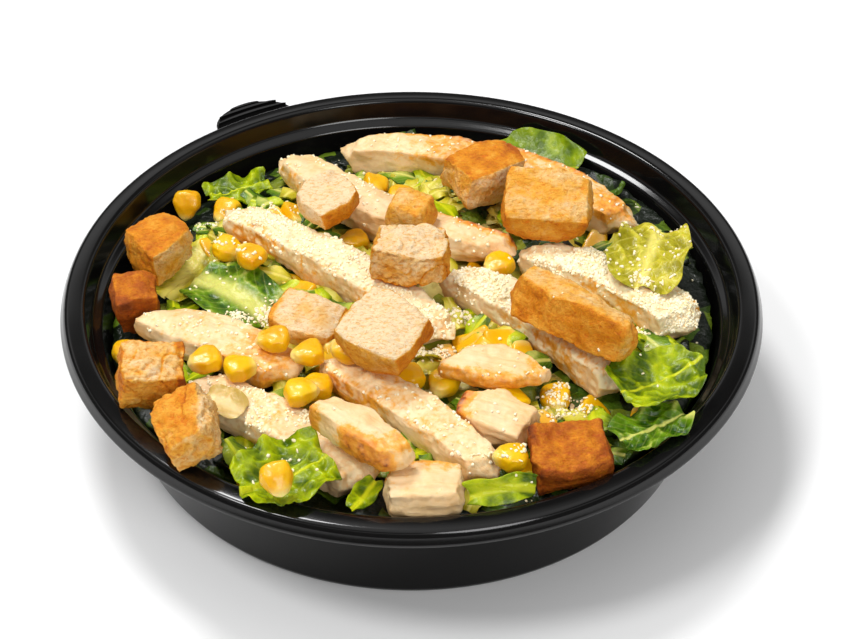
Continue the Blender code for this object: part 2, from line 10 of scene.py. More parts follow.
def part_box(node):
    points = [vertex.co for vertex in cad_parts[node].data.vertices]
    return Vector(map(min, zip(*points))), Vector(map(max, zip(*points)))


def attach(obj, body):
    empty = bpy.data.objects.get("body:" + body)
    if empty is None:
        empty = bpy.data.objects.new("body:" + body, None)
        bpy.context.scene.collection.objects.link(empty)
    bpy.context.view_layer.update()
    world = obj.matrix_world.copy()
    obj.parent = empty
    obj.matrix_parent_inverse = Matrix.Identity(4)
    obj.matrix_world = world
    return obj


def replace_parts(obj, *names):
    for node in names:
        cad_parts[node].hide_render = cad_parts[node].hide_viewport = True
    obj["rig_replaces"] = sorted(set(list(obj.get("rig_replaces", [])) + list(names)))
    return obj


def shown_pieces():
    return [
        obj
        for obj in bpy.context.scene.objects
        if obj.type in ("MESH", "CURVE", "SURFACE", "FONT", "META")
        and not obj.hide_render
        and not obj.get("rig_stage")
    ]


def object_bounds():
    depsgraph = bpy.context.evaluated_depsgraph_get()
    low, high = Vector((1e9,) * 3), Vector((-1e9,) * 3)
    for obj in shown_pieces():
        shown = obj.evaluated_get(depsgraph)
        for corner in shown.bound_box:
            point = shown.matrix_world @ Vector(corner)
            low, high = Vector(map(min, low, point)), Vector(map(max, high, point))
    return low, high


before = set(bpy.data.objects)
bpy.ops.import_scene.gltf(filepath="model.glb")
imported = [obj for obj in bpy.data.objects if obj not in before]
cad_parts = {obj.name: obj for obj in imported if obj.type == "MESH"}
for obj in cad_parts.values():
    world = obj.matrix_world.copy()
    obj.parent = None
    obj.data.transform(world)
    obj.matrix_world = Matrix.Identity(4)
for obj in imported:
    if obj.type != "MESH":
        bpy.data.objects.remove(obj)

noise.seed_set(3)
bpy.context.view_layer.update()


# The bowl
# A shallow takeaway bowl of glossy black polypropylene, formed from one sheet: a ledge inside
# for the lid, a flat rim that is rolled down at its edge, and a lid tab at the back left.

MM = 0.001
BOWL_HALF_SECTION = [
    (0.0, 0.8), (71.6, 0.8), (73.6, 1.3), (75.0, 2.6), (81.6, 31.0), (82.1, 31.5), (83.7, 32.1),
    (84.3, 32.7), (85.6, 37.0), (86.0, 37.6), (86.8, 37.8), (90.2, 37.65), (90.9, 37.3), (91.5, 36.4),
    (92.1, 34.7), (92.45, 34.1), (92.1, 33.5), (91.4, 33.9), (90.6, 35.8), (89.9, 36.6), (87.3, 36.9),
    (86.3, 36.4), (84.8, 31.8), (82.4, 30.4), (75.8, 2.0), (75.0, 0.5), (73.6, 0.0), (0.0, 0.0),
]
TAB_MIDDLE = math.radians(120)
TAB_HALF = math.radians(7.5)
WALL_TOP = 30


def choose(piece):
    """Make a piece the only selected and active object."""
    bpy.ops.object.select_all(action="DESELECT")
    piece.select_set(True)
    bpy.context.view_layer.objects.active = piece


def finish_with(piece, kind, **settings):
    """Give a piece a modifier and apply it."""
    choose(piece)
    modifier = piece.modifiers.new(kind.lower(), kind)
    for name, value in settings.items():
        setattr(modifier, name, value)
    bpy.ops.object.modifier_apply(modifier=modifier.name)


def new_finish(name):
    """A material with its shader, and a function that adds and sets a node."""
    material = bpy.data.materials.new(name)
    material.use_nodes = True
    tree = material.node_tree
    shader = tree.nodes["Principled BSDF"]

    def add(kind, inputs=(), **settings):
        node = tree.nodes.new("ShaderNode" + kind)
        for key, value in settings.items():
            setattr(node, key, value)
        for key, value in dict(inputs).items():
            if isinstance(value, bpy.types.NodeSocket):
                tree.links.new(value, node.inputs[key])
            else:
                node.inputs[key].default_value = value
        return node

    return material, tree, shader, add


def black_plastic(name, shine):
    """Glossy black plastic with the slight waviness of a formed sheet."""
    material, tree, shader, add = new_finish(name)
    place = add("TexCoord").outputs["Object"]
    shader.inputs["Base Color"].default_value = (0.0035, 0.0033, 0.0032, 1)
    shader.inputs["IOR"].default_value = 1.47
    shader.inputs["Specular IOR Level"].default_value = shine
    cloud = add("TexNoise", {"Vector": place, "Scale": 60, "Detail": 4, "Roughness": 0.6})
    gloss = add("MapRange", {"Value": cloud.outputs["Fac"], "To Min": 0.09, "To Max": 0.17})
    tree.links.new(gloss.outputs["Result"], shader.inputs["Roughness"])
    waves = add("TexNoise", {"Vector": place, "Scale": 28, "Detail": 1})
    bump = add("Bump", {"Height": waves.outputs["Fac"], "Strength": 0.10, "Distance": 0.002})
    tree.links.new(bump.outputs["Normal"], shader.inputs["Normal"])
    return material


bpy.ops.object.select_all(action="DESELECT")
bpy.ops.mesh.primitive_plane_add(size=0.001, location=(0, 0, 0))
bowl = bpy.context.active_object
bowl.name = "bowl_shell"
bpy.ops.object.mode_set(mode="EDIT")
bpy.ops.mesh.select_all(action="SELECT")
bpy.ops.mesh.merge(type="CENTER")
bpy.ops.transform.translate(value=(0, 0, BOWL_HALF_SECTION[0][1] * MM))
for (r, z), (next_r, next_z) in zip(BOWL_HALF_SECTION, BOWL_HALF_SECTION[1:]):
    step = ((next_r - r) * MM, 0, (next_z - z) * MM)
    bpy.ops.mesh.extrude_region_move(TRANSFORM_OT_translate={"value": step})
bpy.ops.mesh.select_all(action="SELECT")
bpy.ops.mesh.spin(steps=224, angle=math.tau, center=(0, 0, 0), axis=(0, 0, 1))
bpy.ops.mesh.select_all(action="SELECT")
bpy.ops.mesh.remove_doubles(threshold=0.00001)
bpy.ops.mesh.normals_make_consistent(inside=False)
bpy.ops.object.mode_set(mode="OBJECT")
finish_with(bowl, "BEVEL", width=0.00035, segments=2, limit_method="ANGLE", angle_limit=math.radians(14))

for inner, outer, low, high, share in ((91.7, 100.6, 33.9, 35.1, 1.0), (94.6, 95.6, 34.9, 36.1, 0.90),
                                       (97.2, 98.2, 34.9, 36.0, 0.73), (99.3, 100.2, 34.9, 35.7, 0.36)):
    bpy.ops.object.select_all(action="DESELECT")
    bpy.ops.mesh.primitive_cube_add(size=2)
    tab = bpy.context.active_object
    bpy.ops.object.mode_set(mode="EDIT")
    bpy.ops.mesh.subdivide(number_cuts=15)
    bpy.ops.object.mode_set(mode="OBJECT")
    for vert in tab.data.vertices:
        along, across, up = vert.co
        bulge = max(0.12, math.cos(along * math.pi / 2))
        radius = inner + (outer - inner) * bulge * (across + 1) / 2
        turn = TAB_MIDDLE - math.sin(along * math.pi / 2) * TAB_HALF * share
        height = low + (high - low) * (up + 1) / 2
        vert.co = Vector((radius * math.cos(turn), radius * math.sin(turn), height)) * MM
    finish_with(tab, "BEVEL", width=0.0003, segments=2, limit_method="ANGLE")
    bowl.select_set(True)
    bpy.context.view_layer.objects.active = bowl
    bpy.ops.object.join()
bpy.ops.object.shade_smooth_by_angle(angle=math.radians(38))
bowl.data.materials.append(black_plastic("black_rim", 0.5))
bowl.data.materials.append(black_plastic("black_wall", 0.06))
for face in bowl.data.polygons:
    face.material_index = int(face.center.z < WALL_TOP * MM)
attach(bowl, "root")
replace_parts(bowl, "bowl")


# The salad under the pieces
# Shredded romaine and loose corn, moist with dressing, heaped in the bowl: a core that keeps
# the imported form, with torn shreds and kernels lying on it in the gaps between the pieces.

SALAD_RADIUS = 0.078
BARE_BY_THE_WALL = 0.0715
BARE_AT_THE_BACK = 0.066
BED_KERNELS = [
    (-32, 6), (-73, -29), (44, -45), (33, -49), (24, -44), (28, -29), (23, -24), (9, -27), (2, -45),
    (16, 55), (51, 25), (19, 9), (57, -50), (-19, -25), (-54, 22),
]
# each kind of green: its colour in the hollows with painted shade, a middle colour, and its colour on the
# crests with painted light, which is also the rib's colour
LEAF_GREENS = {
    "dark": ((0.022, 0.075, 0.001), (0.13, 0.25, 0.003), (0.66, 0.66, 0.16)),
    "bright": ((0.065, 0.120, 0.001), (0.34, 0.43, 0.001), (0.60, 0.63, 0.012)),
    "pale": ((0.30, 0.26, 0.006), (0.56, 0.49, 0.025), (0.78, 0.69, 0.15)),
    "fresh": ((0.08, 0.14, 0.001), (0.20, 0.29, 0.001), (0.38, 0.45, 0.004)),
    "rib": ((0.50, 0.33, 0.07), (0.66, 0.45, 0.15), (0.80, 0.62, 0.30)),
}


def copy_of(node, name):
    """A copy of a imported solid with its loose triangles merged, from which a piece is shaped."""
    piece = bpy.data.objects.new(name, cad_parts[node].data.copy())
    bpy.context.scene.collection.objects.link(piece)
    piece.data.materials.clear()
    choose(piece)
    bpy.ops.object.mode_set(mode="EDIT")
    bpy.ops.mesh.select_all(action="SELECT")
    bpy.ops.mesh.remove_doubles(threshold=0.000004)
    bpy.ops.object.mode_set(mode="OBJECT")
    return piece


def relief(piece, size, depth):
    """Move the surface in and out by a cloudy pattern."""
    texture = bpy.data.textures.new(f"{piece.name}_relief", "CLOUDS")
    texture.noise_scale = size
    finish_with(piece, "DISPLACE", texture=texture, texture_coords="LOCAL", strength=depth,
                direction="NORMAL", mid_level=0.5)


def corners(piece):
    """The places of a piece's vertices as rows of numbers."""
    spots = np.empty(len(piece.data.vertices) * 3, np.float32)
    piece.data.vertices.foreach_get("co", spots)
    return spots.reshape(-1, 3).astype(float)


def keep(piece, name, values):
    """Store a number or a vector for each vertex, for the finish to read."""
    is_vector = values.ndim == 2
    kind = "FLOAT_VECTOR" if is_vector else "FLOAT"
    layer = piece.data.attributes.new(name, kind, "POINT")
    layer.data.foreach_set("vector" if is_vector else "value", values.astype(np.float32).ravel())


def leaf_finish(name, greens, rib_width, veins):
    """A waxy leaf: painted shade in its hollows and painted light on its crests, a pale midrib and side
    veins.
    """
    material, tree, shader, add = new_finish(name)
    place = add("TexCoord").outputs["Object"]
    leaf_place = add("Attribute", attribute_name="leaf_place").outputs["Vector"]
    along, across, crest = add("SeparateXYZ", {"Vector": leaf_place}).outputs
    dark, middle, pale = [(*colour, 1) for colour in greens]

    mottle = add("TexNoise", {"Vector": place, "Scale": 170, "Detail": 5, "Roughness": 0.6}).outputs["Fac"]
    # painted shade and light: the fold height, with a random mottle, picks a colour from the shaded hollows
    # to the lit crests
    mottled_fold_shading = add("Math", {0: crest, 1: 0.55, 2: mottle}, operation="MULTIPLY_ADD").outputs[0]
    green = add("ValToRGB", {"Fac": mottled_fold_shading})
    ramp = green.color_ramp
    ramp.elements[0].position = 0.30
    ramp.elements[0].color = dark
    ramp.elements[1].position = 1.05
    ramp.elements[1].color = pale
    ramp.elements.new(0.66).color = middle

    off_rib = add("Math", {0: across}, operation="ABSOLUTE").outputs[0]
    wobble = add("MapRange", {"Value": mottle, "To Min": -0.07, "To Max": 0.07}).outputs[0]
    near_rib = add("Math", {0: off_rib, 1: wobble}, operation="ADD").outputs[0]
    rib = add("MapRange", {"Value": near_rib, "From Min": rib_width * 0.3, "From Max": rib_width * 1.5,
                           "To Min": 0.9, "To Max": 0.0}, interpolation_type="SMOOTHSTEP").outputs[0]
    slant = add("Math", {0: off_rib, 1: 0.9, 2: along}, operation="MULTIPLY_ADD").outputs[0]
    slant = add("Math", {0: slant, 1: wobble}, operation="ADD").outputs[0]
    steps = add("Math", {0: slant, 1: 4.2}, operation="MULTIPLY").outputs[0]
    saw = add("Math", {0: steps, 1: 0.5}, operation="PINGPONG").outputs[0]
    vein = add("MapRange", {"Value": saw, "From Min": 0.0, "From Max": 0.14, "To Min": veins,
                            "To Max": 0.0}, interpolation_type="SMOOTHSTEP").outputs[0]
    lines = add("Math", {0: rib, 1: vein}, operation="MAXIMUM").outputs[0]

    colour = add("Mix", {0: lines, 6: green.outputs["Color"], 7: pale}, data_type="RGBA")
    tree.links.new(colour.outputs[2], shader.inputs["Base Color"])
    gloss = add("MapRange", {"Value": mottle, "To Min": 0.22, "To Max": 0.42}).outputs[0]
    tree.links.new(gloss, shader.inputs["Roughness"])
    shader.inputs["Specular IOR Level"].default_value = 0.3
    shader.inputs["Subsurface Weight"].default_value = 0.2
    shader.inputs["Subsurface Radius"].default_value = (0.6, 1.0, 0.15)
    shader.inputs["Subsurface Scale"].default_value = 0.0014
    crinkle = add("TexNoise", {"Vector": place, "Scale": 620, "Detail": 3}).outputs["Fac"]
    height = add("Math", {0: lines, 1: -0.4, 2: crinkle}, operation="MULTIPLY_ADD").outputs[0]
    bump = add("Bump", {"Height": height, "Strength": 0.5, "Distance": 0.0006})
    tree.links.new(bump.outputs["Normal"], shader.inputs["Normal"])
    return material


def kernel_finish():
    """Cooked sweetcorn: clear glossy skin over a yellow, softly lit inside, paler at the tip."""
    material, tree, shader, add = new_finish("corn_kernel")
    place = add("TexCoord").outputs["Object"]
    tip = add("Attribute", attribute_name="tip").outputs["Fac"]
    tone = add("TexNoise", {"Vector": place, "Scale": 90, "Detail": 2})
    yellow = add("ValToRGB", {"Fac": tone.outputs["Fac"]})
    yellow.color_ramp.elements[0].position = 0.3
    yellow.color_ramp.elements[0].color = (0.77, 0.36, 0.001, 1)
    yellow.color_ramp.elements[1].position = 0.7
    yellow.color_ramp.elements[1].color = (0.88, 0.54, 0.002, 1)
    pale = add("Mix", {0: tip, 6: yellow.outputs["Color"], 7: (0.92, 0.74, 0.22, 1)}, data_type="RGBA")
    tree.links.new(pale.outputs[2], shader.inputs["Base Color"])
    shader.inputs["Roughness"].default_value = 0.34
    shader.inputs["Specular IOR Level"].default_value = 0.35
    shader.inputs["Subsurface Weight"].default_value = 0.3
    shader.inputs["Subsurface Radius"].default_value = (1.0, 0.55, 0.08)
    shader.inputs["Subsurface Scale"].default_value = 0.0018
    shader.inputs["Coat Weight"].default_value = 0.22
    shader.inputs["Coat Roughness"].default_value = 0.12
    skin = add("TexNoise", {"Vector": place, "Scale": 350, "Detail": 3})
    bump = add("Bump", {"Height": skin.outputs["Fac"], "Strength": 0.18, "Distance": 0.0004})
    tree.links.new(bump.outputs["Normal"], shader.inputs["Normal"])
    return material


def bed_finish():
    """Mixed torn greens, dressing and fine cheese, with painted shade: near-black patches stand for the
    gaps, and it darkens towards the bowl's wall.
    """
    material, tree, shader, add = new_finish("salad_core")
    place = add("TexCoord").outputs["Object"]
    patches = add("TexVoronoi", {"Vector": place, "Scale": 190, "Randomness": 1.0}, feature="F1")
    shade = add("SeparateColor", {"Color": patches.outputs["Color"]}).outputs[0]
    greens = add("ValToRGB", {"Fac": shade})
    ramp = greens.color_ramp
    # painted shade: the near-black low end of the ramp stands for the shaded gaps between the greens
    ramp.elements[0].position = 0.0
    ramp.elements[0].color = (0.003, 0.007, 0.001, 1)
    ramp.elements[1].position = 1.0
    ramp.elements[1].color = (0.62, 0.52, 0.16, 1)
    for position, colour in ((0.30, (0.075, 0.15, 0.006, 1)), (0.55, (0.28, 0.30, 0.02, 1)),
                             (0.78, (0.50, 0.36, 0.03, 1))):
        ramp.elements.new(position).color = colour
    # painted shade: the bed is made darker towards the bowl's wall, where the shade falls
    reach = add("VectorMath", {0: place}, operation="LENGTH").outputs["Value"]
    painted_wall_shade = add("MapRange", {"Value": reach, "From Min": 0.045, "From Max": 0.078, "To Min": 0.20,
                               "To Max": -0.60}).outputs[0]
    shade = add("Math", {0: shade, 1: painted_wall_shade}, operation="ADD").outputs[0]
    tree.links.new(shade, greens.inputs["Fac"])
    tree.links.new(greens.outputs["Color"], shader.inputs["Base Color"])
    shader.inputs["Roughness"].default_value = 0.35
    rough = add("TexNoise", {"Vector": place, "Scale": 420, "Detail": 6})
    bump = add("Bump", {"Height": rough.outputs["Fac"], "Strength": 0.8, "Distance": 0.0012})
    tree.links.new(bump.outputs["Normal"], shader.inputs["Normal"])
    return material


def joined_copies(name, patterns, places, finish, attributes=()):
    """One mesh of many copies: each place is (which pattern, matrix, values of the attributes)."""
    spots, faces, values = [], [], {key: [] for key in attributes}
    first = 0
    shapes = []
    for pattern in patterns:
        shapes.append((corners(pattern), [list(face.vertices) for face in pattern.data.polygons]))
    for which, matrix, numbers in places:
        shape, shape_faces = shapes[which]
        turned = shape @ np.array(matrix.to_3x3()).T + np.array(matrix.translation)
        spots.append(turned)
        faces += [[first + index for index in face] for face in shape_faces]
        first += len(shape)
        for key, number in zip(attributes, numbers):
            values[key].append(number if isinstance(number, np.ndarray) else np.full(len(shape), number))
    mesh = bpy.data.meshes.new(name)
    mesh.from_pydata(np.concatenate(spots).tolist(), [], faces)
    piece = bpy.data.objects.new(name, mesh)
    bpy.context.scene.collection.objects.link(piece)
    for key in attributes:
        keep(piece, key, np.concatenate(values[key]))
    mesh.materials.append(finish)
    choose(piece)
    bpy.ops.object.shade_smooth_by_angle(angle=math.radians(50))
    return piece


def discard(pieces):
    """Remove the patterns once their copies are made."""
    for piece in pieces:
        bpy.data.objects.remove(piece, do_unlink=True)


def at(x, y, z, turn=(0, 0, 0), size=(1, 1, 1)):
    """A place with a turn in degrees and a size, as a matrix."""
    angles = Euler([math.radians(angle) for angle in turn])
    return Matrix.Translation((x, y, z)) @ angles.to_matrix().to_4x4() @ Matrix.Diagonal((*size, 1))


core = copy_of("salad_bed", "salad_core")
finish_with(core, "SUBSURF", levels=2, render_levels=2, subdivision_type="SIMPLE")
for vert in core.data.vertices:
    for x, y in BED_KERNELS:
        near = math.hypot(vert.co.x - x * MM, vert.co.y - y * MM)
        if near < 0.0058 and vert.co.z > 0.012:
            vert.co.z -= 0.0036 * (1 - near / 0.0058)
relief(core, 0.0035, 0.0022)
core.data.materials.append(bed_finish())
choose(core)
bpy.ops.object.shade_smooth()
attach(core, "root")
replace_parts(core, "salad_bed")


def surface_of(piece):
    """A piece's surface, against which places and falls are measured."""
    faces = [tuple(face.vertices) for face in piece.data.polygons]
    return BVHTree.FromPolygons([vert.co for vert in piece.data.vertices], faces)


core_tree = surface_of(core)
solid_trees = [surface_of(solid) for name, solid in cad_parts.items() if name != "salad_bed"]


def open_spot(x, y, reach):
    """The top of the core at a place in the plan, if nothing lies over it or close beside it."""
    top = core_tree.ray_cast(Vector((x, y, 0.2)), Vector((0, 0, -1)))[0]
    out = math.hypot(x, y)
    if (y > -0.045 and out > BARE_BY_THE_WALL) or (y > 0.03 and out > BARE_AT_THE_BACK):
        return None
    if top is None or top.z < 0.018:
        return None
    spot = top + Vector((0, 0, 0.0012))
    for tree in solid_trees:
        if tree.ray_cast(spot, Vector((0, 0, 1)))[0] is not None:
            return None
        if tree.find_nearest(spot, reach)[0] is not None:
            return None
    return spot


shreds = []
for length, width, curl in ((13, 7, 0.9), (10, 6, 1.4), (15, 5, 0.6), (8, 8, 1.1)):
    bpy.ops.object.select_all(action="DESELECT")
    bpy.ops.mesh.primitive_grid_add(x_subdivisions=6, y_subdivisions=4, size=1)
    shred = bpy.context.active_object
    for vert in shred.data.vertices:
        a, b = vert.co.x * 2, vert.co.y * 2
        wave = 0.9 * math.sin(a * 3 + length) * b
        bow = curl * (1.4 - a * a - 0.8 * b * b)
        width_here = width * (1 - 0.3 * a * a + 0.15 * math.sin(a * 5 + curl))
        vert.co = Vector((a * length / 2, b * width_here / 2, bow + wave)) * MM
    finish_with(shred, "SOLIDIFY", thickness=0.0006, offset=0)
    shreds.append(shred)

draw = random.Random(11)
lying = {"dark": [], "bright": [], "pale": []}
for _ in range(2600):
    radius, turn = (SALAD_RADIUS + 0.0005) * math.sqrt(draw.random()), draw.uniform(0, math.tau)
    spot = open_spot(radius * math.cos(turn), radius * math.sin(turn), 0.0012)
    tilt = (draw.gauss(0, 16), draw.gauss(0, 16), draw.uniform(0, 360))
    outer = radius > 0.05
    green = draw.choices(("dark", "bright", "pale"), (0.28, 0.44, 0.28) if outer else (0.10, 0.22, 0.68))[0]
    scale = draw.uniform(0.55, 1.0)
    which = draw.randrange(len(shreds))
    count = sum(len(group) for group in lying.values())
    if spot is None or count >= 330:
        continue
    # the shred's height is kept as its third place, which the finish paints as shade low down and as light
    # high up
    shape = corners(shreds[which]) / (np.abs(corners(shreds[which])).max(0) + 1e-9) - np.array((0, 0, 0.4))
    lift = draw.uniform(-0.0004, 0.0012)
    lying[green].append((which, at(spot.x, spot.y, spot.z + lift, tilt, (scale,) * 3), (shape,)))
for green, places in lying.items():
    finish = leaf_finish(f"shredded_leaf_{green}", LEAF_GREENS[green], rib_width=0.14, veins=0.15)
    shredded = joined_copies(f"shreds_{green}", shreds, places, finish, ("leaf_place",))
    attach(shredded, "root")
discard(shreds)


def kernel_tip(piece):
    """How near each vertex is to the narrow tip of a kernel."""
    spots = corners(piece)
    spots = spots - (spots.max(0) + spots.min(0)) / 2
    _, axes = np.linalg.eigh(np.cov(spots.T))
    along = spots @ axes[:, 2]
    beside = np.linalg.norm(spots - np.outer(along, axes[:, 2]), axis=1)
    if beside[along > 0].mean() < beside[along < 0].mean():
        along = -along
    reach = -along / np.abs(along).max()
    return np.clip((reach - 0.45) / 0.5, 0, 1) ** 1.5


KERNEL_HALF_SIZE = (4.7, 4.2, 2.9)
kernel_skin = kernel_finish()
bpy.ops.object.select_all(action="DESELECT")
bpy.ops.mesh.primitive_cube_add(size=2)
kernel_pattern = bpy.context.active_object
bpy.ops.object.mode_set(mode="EDIT")
bpy.ops.mesh.subdivide(number_cuts=3)
bpy.ops.object.mode_set(mode="OBJECT")
for vert in kernel_pattern.data.vertices:
    a, b, c = vert.co
    narrow = 1 - 0.24 * (1 - a)
    dent = 1 - 0.25 * max(0.0, 1 - (a - 0.2) ** 2 * 2.5 - b * b * 1.5)
    long, wide, thick = KERNEL_HALF_SIZE
    vert.co = Vector((a * long * (1 - 0.12 * b * b), b * wide * narrow,
                      c * thick * (narrow + 1) / 2 * dent)) * MM
finish_with(kernel_pattern, "SUBSURF", levels=1, render_levels=1)
places = []
for x, y in BED_KERNELS:
    hit = core_tree.ray_cast(Vector((x * MM, y * MM, 0.2)), Vector((0, 0, -1)))[0]
    tilt = (draw.gauss(0, 14), draw.gauss(0, 14), draw.uniform(0, 360))
    places.append((0, at(x * MM, y * MM, hit.z + 0.0022, tilt), (kernel_tip(kernel_pattern),)))
for _ in range(150):
    radius, turn = SALAD_RADIUS * math.sqrt(draw.random()), draw.uniform(0, math.tau)
    spot = open_spot(radius * math.cos(turn), radius * math.sin(turn), 0.0022)
    if spot is None:
        continue
    tilt = (draw.gauss(0, 25), draw.gauss(0, 25), draw.uniform(0, 360))
    size = draw.uniform(0.82, 1.0)
    places.append((0, at(spot.x, spot.y, spot.z, tilt, (size,) * 3), (kernel_tip(kernel_pattern),)))
bed_corn = joined_copies("corn_in_bed", [kernel_pattern], places, kernel_skin, ("tip",))
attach(bed_corn, "root")
discard([kernel_pattern])


# Corn kernels on the salad
# Whole cooked sweetcorn kernels, plump and glossy, each a rounded wedge that narrows to the
# pale tip that held it to the cob. They lie loose among the other pieces.

for node in sorted(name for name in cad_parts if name.startswith("corn_")):
    kernel = copy_of(node, node.replace("corn", "kernel"))
    finish_with(kernel, "SUBSURF", levels=1, render_levels=1, subdivision_type="SIMPLE")
    finish_with(kernel, "SUBSURF", levels=2, render_levels=2)
    relief(kernel, 0.0035, 0.0009)
    keep(kernel, "tip", kernel_tip(kernel))
    kernel.data.materials.append(kernel_skin)
    choose(kernel)
    bpy.ops.object.shade_smooth()
    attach(kernel, "root")
    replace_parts(kernel, node)


# Romaine leaves
# Torn pieces of romaine: thin, crinkled and waxy, green at the blade and pale along the rib.
# They lie under and over the chicken, and some stand against the bowl's wall.

# greens; width of the rib; veins; height of the folds and of the ruffled edge in millimetres
LEAVES = {
    "lettuce_01": ("pale", 0.25, 0.2, 0.6, 0.8), "lettuce_02": ("dark", 0.30, 0.15, 0.7, 0.6),
    "lettuce_03": ("bright", 0.03, 0.1, 2.0, 2.2), "lettuce_04": ("pale", 0.05, 0.1, 1.4, 1.6),
    "lettuce_05": ("fresh", 0.02, 0.05, 0.3, 0.3), "lettuce_06": ("dark", 0.06, 0.15, 1.6, 1.4),
    "lettuce_07": ("pale", 0.16, 0.3, 1.6, 2.0), "lettuce_08": ("bright", 0.04, 0.1, 1.3, 1.2),
    "lettuce_09": ("bright", 0.20, 0.1, 0.3, 0.2), "lettuce_10": ("bright", 0.05, 0.15, 2.0, 2.2),
    "lettuce_11": ("bright", 0.20, 0.1, 0.6, 0.6), "lettuce_12": ("rib", 0.3, 0.1, 0.4, 0.3),
}


def own_place(piece):
    """Each vertex's place along, across and up its piece, in metres from the middle."""
    spots = corners(piece)
    spots = spots - (spots.max(0) + spots.min(0)) / 2
    _, axes = np.linalg.eigh(np.cov(spots[:, :2].T))
    along = axes[:, 1] if axes[0, 1] > 0 else -axes[:, 1]
    across = np.array((-along[1], along[0]))
    return np.column_stack((spots[:, :2] @ along, spots[:, :2] @ across, spots[:, 2]))


def crease(spot, size):
    """Sharp-crested folds, from 0 in a hollow to 1 on a crest."""
    return 1 - min(1.0, 2.4 * abs(noise.noise(spot / size)))


for number, (node, (greens, rib, veins, folds, edge)) in enumerate(LEAVES.items()):
    leaf = copy_of(node, node.replace("lettuce", "leaf"))
    finish_with(leaf, "SUBSURF", levels=3, render_levels=3)
    finish_with(leaf, "DISPLACE", strength=-0.00022, mid_level=0.0)
    place = own_place(leaf)
    shares = place / np.abs(place).max(0)
    shift = Vector((0, 0, number * 7.3))
    for vert, (a, b, _) in zip(leaf.data.vertices, shares):
        out = max(abs(a), abs(b)) ** 3
        flat = Vector((vert.co.x, vert.co.y, 0)) / MM + shift
        crest = crease(flat, 6.0) * 0.6 + crease(flat, 2.6) * 0.4
        wave = math.sin(7.5 * math.atan2(b, a) + number) + 0.5 * noise.noise(flat * 0.3)
        vert.co.z += (folds * (crest - 0.5) * 0.8 + edge * out * wave * 0.7) * MM
        # the third place keeps the fold height, which the finish paints as shade in the hollows and as
        # light on the crests and the ruffled edge's peaks
        shares[vert.index, 2] = crest - 0.5 + 0.35 * out * wave
    keep(leaf, "leaf_place", shares)
    leaf.data.materials.append(leaf_finish(f"leaf_{greens}_{node[-2:]}", LEAF_GREENS[greens], rib, veins))
    choose(leaf)
    bpy.ops.object.shade_smooth()
    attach(leaf, "root")
    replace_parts(leaf, node)


# Chicken
# Cooked chicken breast, cut across into strips and chunks: a moist, finely fibrous pale cut
# face, golden to red-brown where the outside was seared. The strips lie across the salad.

# seared stretches: from and to along the strip, side (1 back, -1 front, 0 top), strength
SEAR = {
    "chicken_01": [(-0.9, -0.2, -1, 0.60), (-0.5, 0.1, 0, 0.35), (0.1, 0.5, 0, 0.30), (0.2, 0.6, 1, 0.40)],
    "chicken_02": [(-0.3, 0.0, 0, 0.35), (0.2, 1.0, 1, 0.5)],
    "chicken_03": [(-0.7, 0.1, 0, 0.2), (0.2, 0.9, 0, 0.60), (0.5, 1.1, -1, 0.60)],
    "chicken_04": [(0.1, 0.9, 1, 0.55), (-0.2, 0.6, -1, 0.40), (0.4, 0.9, 0, 0.35)],
    "chicken_05": [(-0.8, -0.45, -1, 0.62), (-0.2, 0.0, -1, 0.32), (0.25, 0.5, -1, 0.40)],
    "chicken_06": [(-1.1, -0.7, -1, 0.4), (0.45, 1.1, 1, 1.0)],
    "chicken_07": [(0.0, 0.9, 1, 0.75), (-0.3, 0.5, -1, 0.40)],
    "chicken_08": [(-1.0, 1.1, 1, 0.95), (0.70, 1.1, 0, 0.8), (-0.5, 0.3, 0, 0.55)],
    "chicken_09": [(-1.0, 1.0, 1, 0.45)],
    "chicken_10": [(-1.2, -0.75, 0, 1.3), (-0.9, -0.5, -1, 0.5)],
    "chicken_11": [(-1.0, 1.0, -1, 0.50), (0.5, 1.1, 0, 0.4)],
    "chicken_12": [(-0.2, 1.1, -1, 0.75), (0.5, 1.1, 0, 0.55), (-1.2, -0.7, -1, 0.6)],
}
# how strongly the fibres show, and how much cheese has sunk into the moist top
FIBRES = {"chicken_09": 1.0, "chicken_10": 0.6, "chicken_11": 0.5, "chicken_12": 0.3}
SUNK_CHEESE = {
    "chicken_04": 1.0, "chicken_07": 1.0, "chicken_05": 0.9, "chicken_02": 0.6, "chicken_01": 0.5,
    "chicken_03": 0.3, "chicken_08": 0.3, "chicken_06": 0.3,
}


def cloud_at(spots, size, shift=0.0):
    """Soft noise, about -0.6 to 0.6, at many places."""
    return np.array([noise.noise(Vector(spot)) for spot in spots / size + shift])


def normals_of(piece):
    """The directions in which a piece's surface looks."""
    normals = np.empty(len(piece.data.vertices) * 3, np.float32)
    piece.data.vertices.foreach_get("normal", normals)
    return normals.reshape(-1, 3).astype(float)


def swell(piece, height):
    """Move each vertex out by its own height."""
    spots = corners(piece) + normals_of(piece) * height[:, None]
    piece.data.vertices.foreach_set("co", spots.astype(np.float32).ravel())
    piece.data.update()


def between(values, low, high):
    """A smooth step from 0 at low to 1 at high."""
    share = np.clip((values - low) / (high - low), 0, 1)
    return share * share * (3 - 2 * share)


